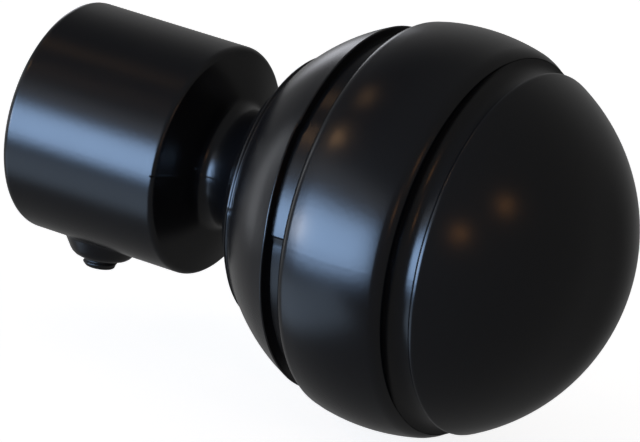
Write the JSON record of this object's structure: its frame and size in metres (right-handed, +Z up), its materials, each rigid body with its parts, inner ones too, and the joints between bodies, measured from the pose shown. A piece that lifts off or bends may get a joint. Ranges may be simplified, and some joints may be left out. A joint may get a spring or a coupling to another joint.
{
  "type": "curtain pole finial",
  "caption": "Ball-ended curtain pole finial: a grooved ball on a short waist, with a round socket collar that slips over the end of the pole and a grub screw that clamps it from below.",
  "frame": {"origin": "centre of the socket's mouth, where the pole enters", "axes": "+X along the pole's axis, from the mouth of the socket to the tip of the ball; +Z up, with the boss and its screw pointing down along -Z"},
  "size_m": [0.0915, 0.0586, 0.0586],
  "materials": {
    "satin_black_lacquer": "satin black lacquer over a one-piece moulding, faint orange peel",
    "blackened_steel": "black oxide, rolled thread"
  },
  "bodies": {
    "finial": {"finial_body": "satin_black_lacquer"},
    "screw": {"clamp_screw": "blackened_steel"}
  },
  "joints": [
    {"name": "clamp_screw_travel", "type": "slide", "parent": "finial", "child": "screw", "axis": [0, 0, 1], "range_m": [-0.0015, 0.00235]}
  ]
}
